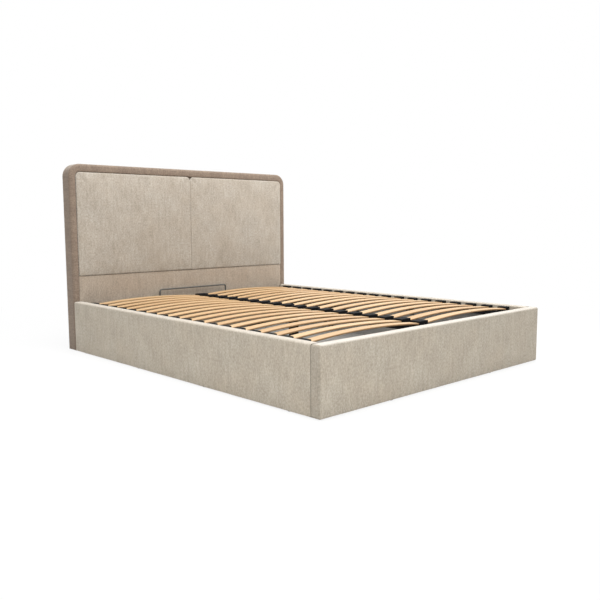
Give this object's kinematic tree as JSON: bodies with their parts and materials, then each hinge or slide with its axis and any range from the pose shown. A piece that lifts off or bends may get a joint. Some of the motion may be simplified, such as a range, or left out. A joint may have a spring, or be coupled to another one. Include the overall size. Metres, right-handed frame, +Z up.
{
  "type": "storage bed",
  "caption": "Upholstered double bed with a padded headboard, box rails and a slatted base on gas struts that lifts over a storage box.",
  "frame": {"origin": "on the floor under the middle of the bed", "axes": "+X across the bed towards the right-hand side seen from the foot end, +Y along the bed towards the headboard, +Z up"},
  "size_m": [1.72, 2.192, 1.131],
  "materials": {
    "rail_fabric": "plain velvet-like weave, beige",
    "border_fabric": "plain velvet-like weave, taupe",
    "pad_fabric": "plain velvet-like weave, light beige",
    "panel_fabric": "plain velvet-like weave, sand",
    "back_fabric": "non-woven backing cloth, dark grey",
    "board": "chipboard, uncoated",
    "timber": "planed softwood",
    "lining": "hardboard with a matte grey face",
    "frame_steel": "black powder coat",
    "stop_steel": "grey powder coat",
    "pin_steel": "zinc plated",
    "rod_steel": "hard chromed and ground",
    "holder_plastic": "moulded, black",
    "bush_plastic": "nylon, natural",
    "strip_plastic": "extruded, grey",
    "slat_wood": "bent beech and birch laminate, clear lacquer",
    "rubber": "matte black"
  },
  "bodies": {
    "bed": {"headboard_board": "board", "headboard_stile_left": "timber", "headboard_stile_right": "timber", "headboard_top_timber": "timber", "headboard_mid_timber": "timber", "headboard_bottom_timber": "timber", "headboard_border": "border_fabric", "headboard_back_cover": "back_fabric", "headboard_lower_pad": "panel_fabric", "headboard_pad_left": "pad_fabric", "headboard_pad_right": "pad_fabric", "pad_backing_boards": "board", "headboard_bolts": "pin_steel", "side_rail_core_left": "board", "side_rail_core_right": "board", "side_rail_cover_left": "rail_fabric", "side_rail_cover_right": "rail_fabric", "side_rail_lining_left": "lining", "side_rail_lining_right": "lining", "foot_rail_core": "board", "foot_rail_cover": "rail_fabric", "foot_rail_lining": "lining", "corner_brackets": "frame_steel", "bracket_screws": "pin_steel", "rest_brackets": "frame_steel", "rest_pads": "rubber", "floor_panel_foot": "lining", "floor_panel_head": "lining", "floor_joint_strip": "strip_plastic", "glides": "holder_plastic", "centre_leg": "frame_steel", "centre_leg_cap": "rubber", "lift_plate_left": "frame_steel", "lift_plate_right": "frame_steel", "lift_plate_screws": "pin_steel", "arm_pivots": "pin_steel", "strut_base_pins": "pin_steel"},
    "lift_arms": {"lift_arm_left": "frame_steel", "lift_arm_right": "frame_steel"},
    "lift_frame": {"frame_bracket_left": "frame_steel", "frame_bracket_right": "frame_steel", "frame_pivots": "pin_steel", "guide_pins": "pin_steel", "guide_bushes": "bush_plastic", "strut_top_pins": "pin_steel", "frame_side_tube_left": "frame_steel", "frame_side_tube_right": "frame_steel", "frame_end_tubes": "frame_steel", "frame_centre_tube": "frame_steel", "tube_caps": "holder_plastic", "slat_holders_left": "holder_plastic", "slat_holders_right": "holder_plastic", "slat_holders_centre": "holder_plastic", "slats_left": "slat_wood", "slats_right": "slat_wood", "mattress_stop": "stop_steel"},
    "strut_cylinders": {"strut_cylinder_left": "frame_steel", "strut_cylinder_right": "frame_steel"},
    "strut_rods": {"strut_rod_left": "rod_steel", "strut_rod_right": "rod_steel"}
  },
  "joints": [
    {"name": "arm_lift", "type": "hinge", "parent": "bed", "child": "lift_arms", "pos_m": [0, 0.2093, 0.142], "axis": [1, 0, 0], "range_deg": [0, 35]},
    {"name": "frame_tilt", "type": "hinge", "parent": "lift_arms", "child": "lift_frame", "pos_m": [0, 0.55165, 0.21477], "axis": [1, 0, 0], "range_deg": [-70, 0]},
    {"name": "strut_swing", "type": "hinge", "parent": "bed", "child": "strut_cylinders", "pos_m": [0, 0.4443, 0.042], "axis": [1, 0, 0], "range_deg": [0, 36.84]},
    {"name": "strut_extend", "type": "slide", "parent": "strut_cylinders", "child": "strut_rods", "axis": [0, 0.7284, 0.6852], "range_m": [0, 0.0747]}
  ],
  "couplings": [
    {"joint": "frame_tilt", "follows": "arm_lift", "ratio": -2},
    {"joint": "strut_swing", "follows": "arm_lift", "ratio": 1.0525},
    {"joint": "strut_extend", "follows": "arm_lift", "m_per_rad": 0.12215}
  ]
}
